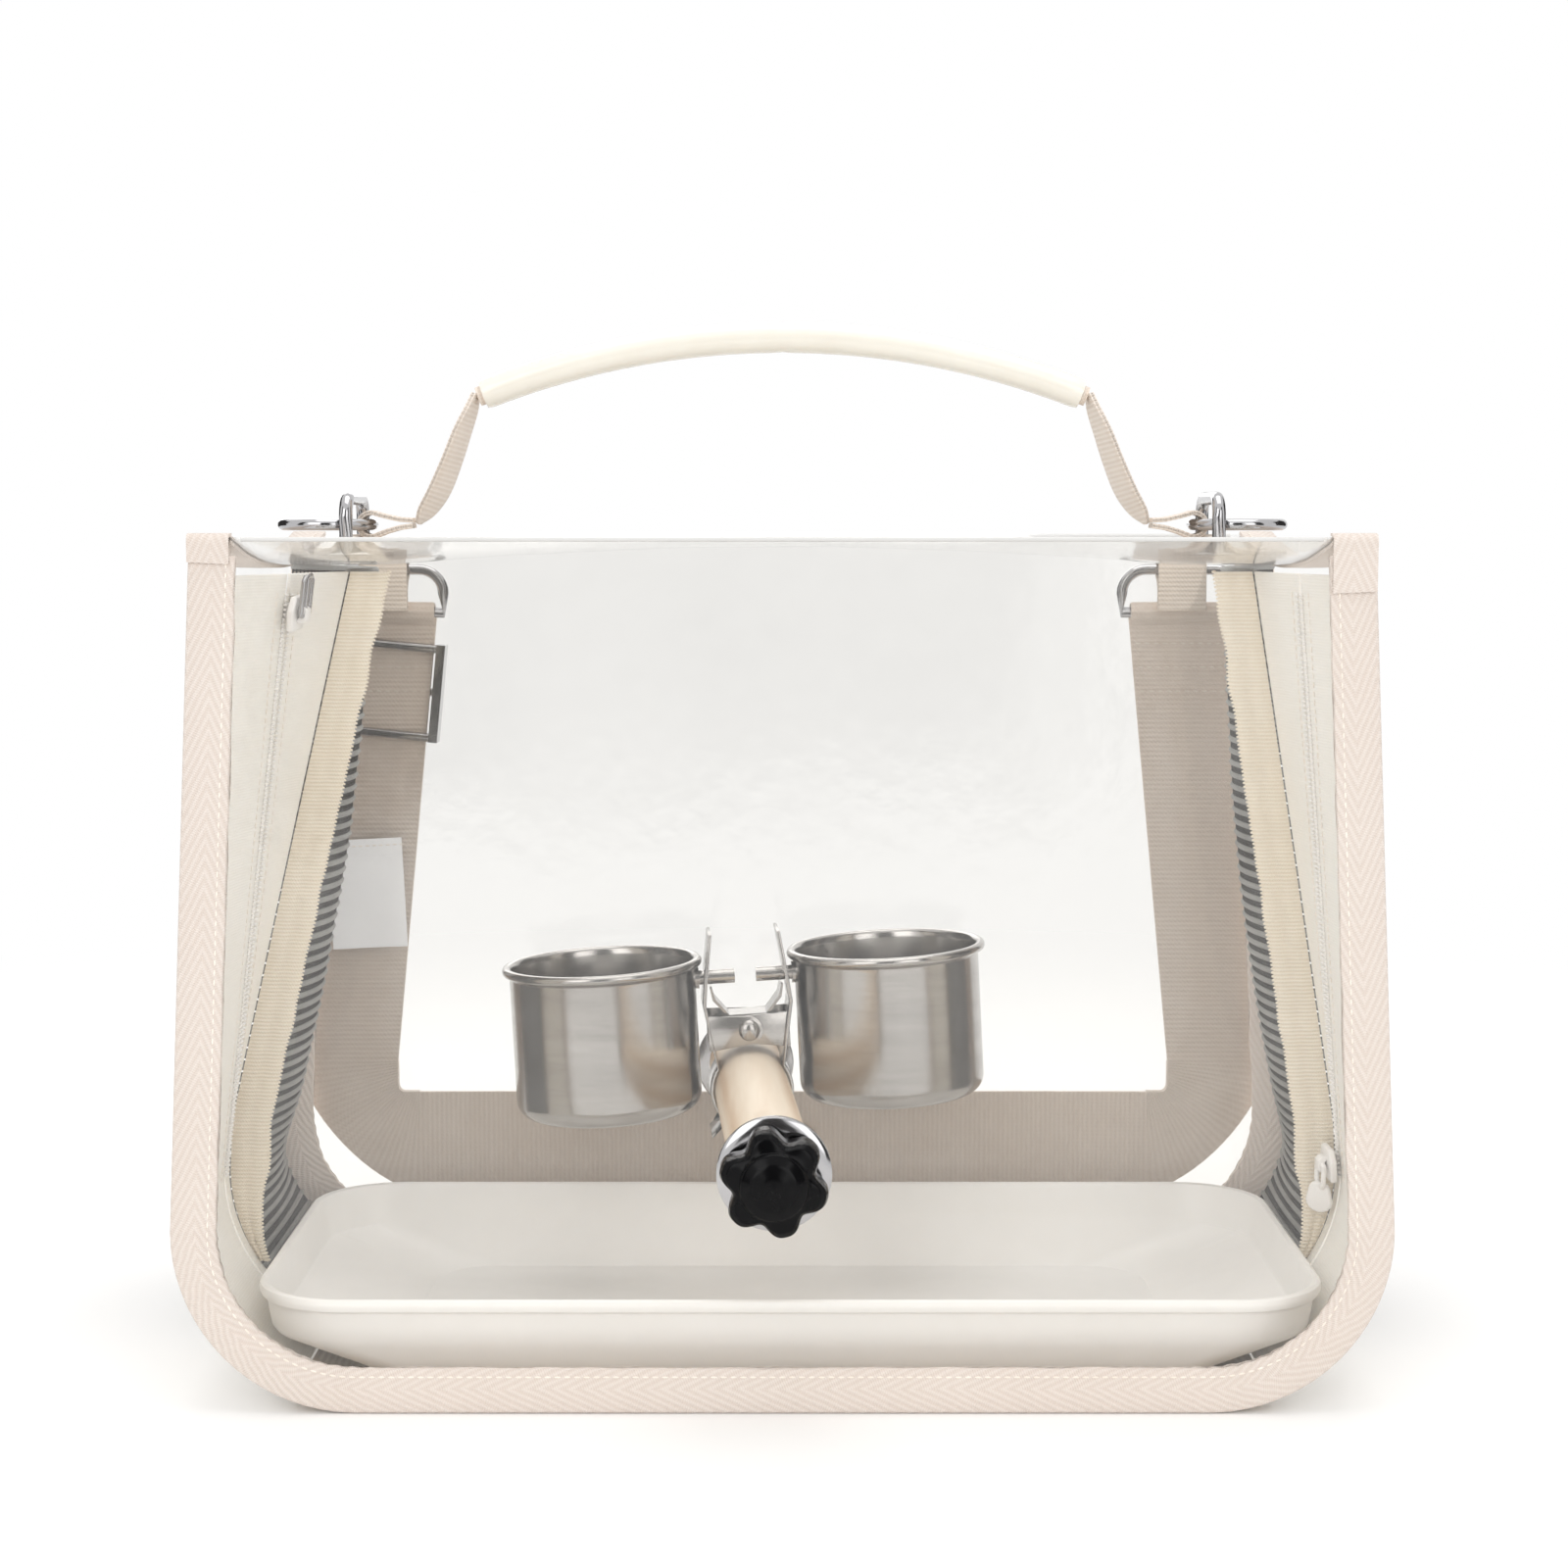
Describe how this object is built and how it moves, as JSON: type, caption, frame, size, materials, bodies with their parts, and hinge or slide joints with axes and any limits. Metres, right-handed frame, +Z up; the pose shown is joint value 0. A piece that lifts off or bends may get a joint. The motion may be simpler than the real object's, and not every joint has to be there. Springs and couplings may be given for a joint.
{
  "type": "bird travel carrier",
  "caption": "Clear zipped sheet bag for carrying a bird, with net side windows, a wooden perch, steel cups on a spring clip, a drop tray, a tube-gripped handle and a shoulder strap",
  "frame": {"origin": "middle of the base on the floor, half way between the front and back sheets", "axes": "+X to the right seen from the front, +Y to the back, +Z up; the front sheet and the star knob face -Y"},
  "size_m": [0.3024, 0.1675, 0.2706],
  "materials": {
    "clear_sheet": "clear, glossy, lightly wrinkled PVC",
    "cream_tape": "woven twill tape, matt",
    "cream_fabric": "ribbed base fabric, matt",
    "side_fabric": "thin coated side fabric",
    "net": "ribbed net",
    "zip_plastic": "moulded zip parts",
    "plated_metal": "bright plated wire and washers",
    "webbing": "ribbed webbing",
    "clear_tube": "soft clear tube, whitish",
    "light_wood": "turned light wood, oiled",
    "black_plastic": "glossy black",
    "stainless": "pressed stainless steel",
    "tray_plastic": "satin light grey",
    "label_cloth": "plain white satin",
    "strap_webbing": "beige strap webbing"
  },
  "bodies": {
    "bag": {"front_panel": "clear_sheet", "back_panel": "clear_sheet", "top_panel": "clear_sheet", "base_panel": "cream_fabric", "front_binding": "cream_tape", "back_binding": "cream_tape", "top_tape_left": "cream_tape", "top_tape_right": "cream_tape", "front_gusset_left": "side_fabric", "front_gusset_right": "side_fabric", "middle_gusset_left": "side_fabric", "middle_gusset_right": "side_fabric", "mesh_window_left": "net", "mesh_window_right": "net", "seam_ribbon_left": "cream_tape", "seam_ribbon_right": "cream_tape", "zip_coils_left": "zip_plastic", "zip_coils_right": "zip_plastic", "webbing_tab_left": "webbing", "webbing_tab_right": "webbing", "handle_end_left": "webbing", "handle_end_right": "webbing", "perch": "light_wood", "perch_studs": "plated_metal", "inner_washers": "plated_metal", "outer_washers": "plated_metal", "rear_cap_nut": "plated_metal", "care_label": "label_cloth", "strap_tab_left": "webbing", "strap_tab_right": "webbing"},
    "handle": {"handle_webbing": "webbing", "handle_grip": "clear_tube"},
    "flat_ring_left": {"o_ring_left": "plated_metal"},
    "flat_ring_right": {"o_ring_right": "plated_metal"},
    "upright_ring_left": {"d_ring_left": "plated_metal"},
    "upright_ring_right": {"d_ring_right": "plated_metal"},
    "slider_left": {"zip_slider_left": "zip_plastic"},
    "slider_right": {"zip_slider_right": "zip_plastic"},
    "pull_left": {"zip_pull_left": "plated_metal"},
    "pull_right": {"zip_pull_right": "zip_plastic"},
    "knob": {"star_knob": "black_plastic"},
    "cup_clip": {"clip_rivet": "stainless", "clip_spring": "stainless"},
    "jaw_left": {"clip_jaw_left": "stainless"},
    "jaw_right": {"clip_jaw_right": "stainless"},
    "feed_cup_left": {"cup_left": "stainless", "cup_pin_left": "stainless"},
    "feed_cup_right": {"cup_right": "stainless", "cup_pin_right": "stainless"},
    "drop_tray": {"tray": "tray_plastic"},
    "strap": {"shoulder_strap": "strap_webbing", "strap_ring_left": "plated_metal", "strap_ring_right": "plated_metal"},
    "adjuster": {"strap_adjuster": "plated_metal"}
  },
  "joints": [
    {"name": "handle_swing", "type": "hinge", "parent": "bag", "child": "handle", "pos_m": [0, 0, 0.21815], "axis": [1, 0, 0], "range_deg": [-80, 80]},
    {"name": "flat_ring_left_lift", "type": "hinge", "parent": "bag", "child": "flat_ring_left", "pos_m": [-0.1083, 0, 0.21775], "axis": [0, 1, 0], "range_deg": [0, 22]},
    {"name": "flat_ring_right_lift", "type": "hinge", "parent": "bag", "child": "flat_ring_right", "pos_m": [0.1083, 0, 0.21775], "axis": [0, -1, 0], "range_deg": [0, 22]},
    {"name": "upright_ring_left_tilt", "type": "hinge", "parent": "bag", "child": "upright_ring_left", "pos_m": [-0.113, 0, 0.21185], "axis": [0, 1, 0], "range_deg": [-8, 5]},
    {"name": "upright_ring_right_tilt", "type": "hinge", "parent": "bag", "child": "upright_ring_right", "pos_m": [0.113, 0, 0.21185], "axis": [0, -1, 0], "range_deg": [-8, 5]},
    {"name": "zip_left_travel", "type": "slide", "parent": "bag", "child": "slider_left", "axis": [-0.1453, 0.1328, -0.9804], "range_m": [0, 0.145]},
    {"name": "zip_right_travel", "type": "slide", "parent": "bag", "child": "slider_right", "axis": [-0.1091, -0.1335, 0.985], "range_m": [0, 0.145]},
    {"name": "pull_left_swing", "type": "hinge", "parent": "slider_left", "child": "pull_left", "pos_m": [-0.12147, -0.03036, 0.19509], "axis": [0.1832, 0.9774, 0.1053], "range_deg": [0, 150]},
    {"name": "pull_right_swing", "type": "hinge", "parent": "slider_right", "child": "pull_right", "pos_m": [0.14333, -0.01011, 0.04832], "axis": [-0.1181, 0.9857, 0.1205], "range_deg": [0, 120]},
    {"name": "knob_turn", "type": "hinge", "parent": "bag", "child": "knob", "pos_m": [-0.002, -0.071, 0.06], "axis": [0, 1, 0], "continuous": true},
    {"name": "clip_slide", "type": "slide", "parent": "bag", "child": "cup_clip", "axis": [-0.0649, 0.9979, 0], "range_m": [-0.07, 0]},
    {"name": "jaw_left_squeeze", "type": "hinge", "parent": "cup_clip", "child": "jaw_left", "pos_m": [-0.00979, 0.03694, 0.07698], "axis": [-0.0649, 0.9979, 0], "range_deg": [0, 5], "deforming": ["clip_spring"]},
    {"name": "jaw_right_squeeze", "type": "hinge", "parent": "cup_clip", "child": "jaw_right", "pos_m": [-0.00979, 0.03694, 0.07698], "axis": [-0.0649, 0.9979, 0], "range_deg": [-5, 0]},
    {"name": "cup_left_tilt", "type": "hinge", "parent": "jaw_left", "child": "feed_cup_left", "pos_m": [-0.01055, 0.03689, 0.09146], "axis": [0.9965, 0.0648, 0.0523], "range_deg": [-5, 5]},
    {"name": "cup_right_tilt", "type": "hinge", "parent": "jaw_right", "child": "feed_cup_right", "pos_m": [-0.01055, 0.03689, 0.09146], "axis": [0.9965, 0.0648, 0.0523], "range_deg": [-5, 5]},
    {"name": "tray_lift", "type": "slide", "parent": "bag", "child": "drop_tray", "axis": [0, 0, 1], "range_m": [0, 0.015]},
    {"name": "strap_swing", "type": "hinge", "parent": "bag", "child": "strap", "pos_m": [0, 0.07575, 0.2045], "axis": [1, 0, 0], "range_deg": [0, 170]},
    {"name": "adjuster_travel", "type": "slide", "parent": "strap", "child": "adjuster", "axis": [0.0992, 0, 0.9951], "range_m": [-0.06, 0.002]}
  ],
  "couplings": [
    {"joint": "jaw_right_squeeze", "follows": "jaw_left_squeeze", "ratio": -1}
  ]
}
